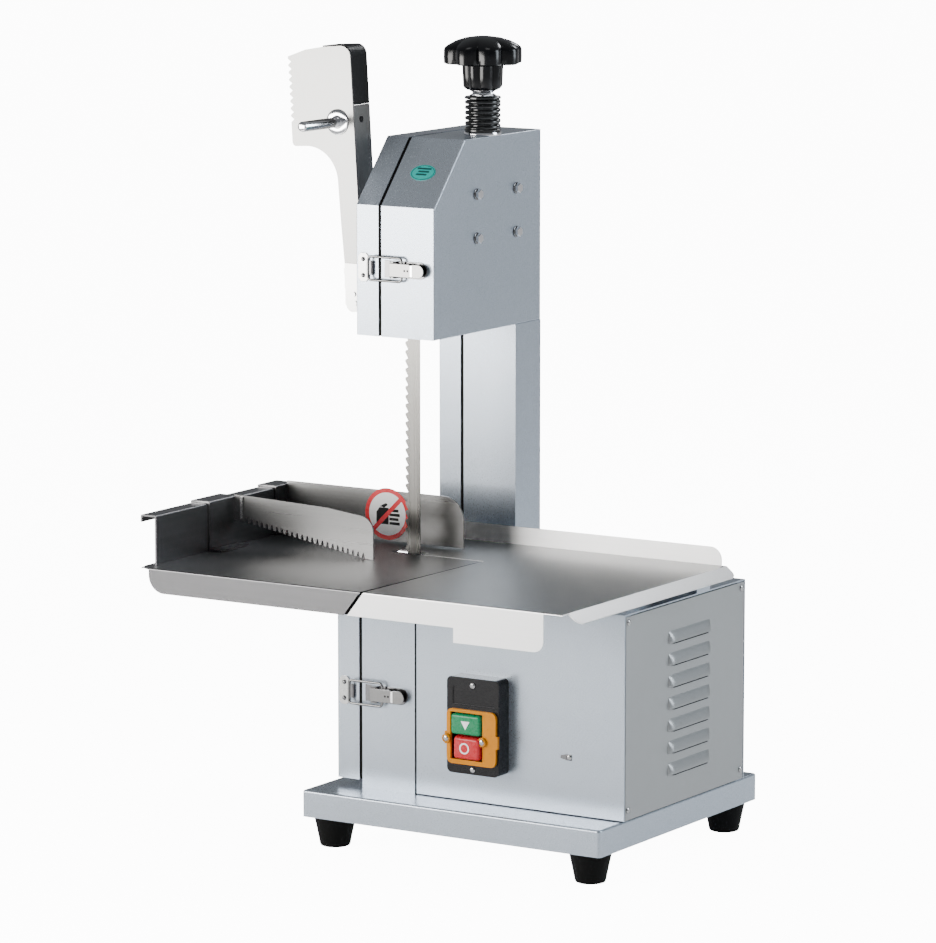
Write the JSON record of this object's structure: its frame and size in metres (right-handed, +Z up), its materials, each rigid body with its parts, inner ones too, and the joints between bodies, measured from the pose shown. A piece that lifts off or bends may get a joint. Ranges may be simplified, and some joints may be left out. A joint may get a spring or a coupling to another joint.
{
  "type": "bone saw",
  "caption": "Countertop band saw for meat and bone, with a sliding table, adjustable fences, a swing pusher and a hinged door over the band wheels.",
  "frame": {"origin": "bottom centre of the whole object's box, on the surface that the feet stand on", "axes": "+Z up along the column, +X towards the louvred motor side, -Y towards the switch side, and the operator stands on the -X side"},
  "size_m": [0.5734, 0.456, 0.89],
  "materials": {
    "painted_steel": "satin silver-grey paint",
    "stainless": "brushed",
    "zinc": "bright zinc plate",
    "chrome_plate": "polished",
    "blade_steel": "ground",
    "black_rubber": "matt",
    "black_plastic": "gloss",
    "black_satin_plastic": "satin",
    "amber_plastic": "clear amber",
    "green_plastic": "gloss",
    "red_plastic": "gloss",
    "cast_alloy": "cast",
    "cast_iron_grey": "machined",
    "motor_paint": "satin",
    "grey_plastic": "satin",
    "spring_steel": "black oxide",
    "teal_label": "gloss",
    "sign_white": "gloss"
  },
  "bodies": {
    "root": {"rubber_feet": "black_rubber", "foot_screws": "zinc", "base_tray": "painted_steel", "lower_housing": "painted_steel", "column": "painted_steel", "upper_housing": "painted_steel", "door_gasket": "black_rubber", "motor_cover": "painted_steel", "side_panel": "painted_steel", "cover_screws": "zinc", "switch_box": "black_plastic", "switch_bezel": "amber_plastic", "motor_body": "motor_paint", "fan_cover": "motor_paint", "capacitor": "grey_plastic", "motor_bolts": "zinc", "tension_guides": "cast_iron_grey", "head_bolts": "zinc", "tension_spring": "spring_steel", "spring_seat": "chrome_plate", "saw_blade": "blade_steel", "blade_guides": "cast_iron_grey", "right_table": "stainless", "table_supports": "painted_steel", "slide_blocks": "cast_alloy", "frame_hinges": "stainless", "latch_bases": "zinc", "oval_label": "teal_label", "cable_gland": "black_satin_plastic"},
    "door": {"saw_door": "painted_steel", "door_hinges": "stainless", "door_keepers": "zinc", "pusher_bracket": "stainless"},
    "pusher": {"pusher_plate": "stainless", "pusher_pad": "black_plastic", "pusher_handle": "chrome_plate"},
    "drive": {"motor_shaft": "stainless", "motor_fan": "black_satin_plastic", "lower_wheel": "cast_alloy", "wheel_nut": "zinc"},
    "tension": {"tension_block": "cast_iron_grey", "upper_axle": "stainless", "tension_rod": "zinc"},
    "idler": {"upper_wheel": "cast_alloy", "wheel_bearings": "chrome_plate"},
    "knob": {"tension_knob": "black_plastic"},
    "start": {"start_button": "green_plastic"},
    "stop": {"stop_button": "red_plastic"},
    "carriage": {"left_table": "stainless", "carriage_rods": "stainless", "gauge_rail": "stainless"},
    "gauge": {"gauge_slider": "stainless", "gauge_plate": "stainless", "sign_disc": "sign_white"},
    "fence": {"side_slider": "stainless", "toothed_plate": "stainless"},
    "upper_lever": {"upper_lever": "zinc"},
    "lower_lever": {"lower_lever": "zinc"},
    "upper_loop": {"upper_loop": "zinc"},
    "lower_loop": {"lower_loop": "zinc"}
  },
  "joints": [
    {"name": "door_hinge", "type": "hinge", "parent": "root", "child": "door", "pos_m": [-0.08235, 0.201, 0.43], "axis": [0, 0, -1], "range_deg": [0, 110]},
    {"name": "pusher_swing", "type": "hinge", "parent": "door", "child": "pusher", "pos_m": [-0.13335, -0.005, 0.625], "axis": [0, -1, 0], "range_deg": [0, 175]},
    {"name": "drive_spin", "type": "hinge", "parent": "root", "child": "drive", "pos_m": [-0.06235, 0.1, 0.178], "axis": [1, 0, 0], "continuous": true},
    {"name": "tension_slide", "type": "slide", "parent": "root", "child": "tension", "axis": [0, 0, 1], "range_m": [-0.008, 0]},
    {"name": "idler_spin", "type": "hinge", "parent": "tension", "child": "idler", "pos_m": [-0.06235, 0.1, 0.672], "axis": [1, 0, 0], "continuous": true},
    {"name": "knob_turn", "type": "hinge", "parent": "root", "child": "knob", "pos_m": [-0.02935, 0.1, 0.86], "axis": [0, 0, -1], "range_deg": [-1440, 0]},
    {"name": "start_press", "type": "slide", "parent": "root", "child": "start", "axis": [0, 1, 0], "range_m": [0, 0.003], "stiffness_N_per_m": 300},
    {"name": "stop_press", "type": "slide", "parent": "root", "child": "stop", "axis": [0, 1, 0], "range_m": [0, 0.003], "stiffness_N_per_m": 300},
    {"name": "carriage_slide", "type": "slide", "parent": "root", "child": "carriage", "axis": [1, 0, 0], "range_m": [-0.16, 0]},
    {"name": "gauge_slide", "type": "slide", "parent": "carriage", "child": "gauge", "axis": [0, 1, 0], "range_m": [-0.032, 0.004]},
    {"name": "fence_slide", "type": "slide", "parent": "carriage", "child": "fence", "axis": [0, 1, 0], "range_m": [-0.08, 0.045]},
    {"name": "upper_lever_lift", "type": "hinge", "parent": "root", "child": "upper_lever", "pos_m": [-0.06135, -0.0345, 0.64], "axis": [0, 0, -1], "range_deg": [0, 100]},
    {"name": "upper_loop_swing", "type": "hinge", "parent": "upper_lever", "child": "upper_loop", "pos_m": [-0.05035, -0.0345, 0.64], "axis": [0, 0, 1], "range_deg": [0, 112]},
    {"name": "lower_lever_lift", "type": "hinge", "parent": "root", "child": "lower_lever", "pos_m": [-0.06135, -0.0755, 0.172], "axis": [0, 0, -1], "range_deg": [0, 100]},
    {"name": "lower_loop_swing", "type": "hinge", "parent": "lower_lever", "child": "lower_loop", "pos_m": [-0.05035, -0.0755, 0.172], "axis": [0, 0, 1], "range_deg": [0, 112]}
  ],
  "couplings": [
    {"joint": "idler_spin", "follows": "drive_spin", "ratio": 1},
    {"joint": "tension_slide", "follows": "knob_turn", "m_per_rad": 0.00031831},
    {"joint": "upper_loop_swing", "follows": "upper_lever_lift", "ratio": 1.1},
    {"joint": "lower_loop_swing", "follows": "lower_lever_lift", "ratio": 1.1}
  ]
}
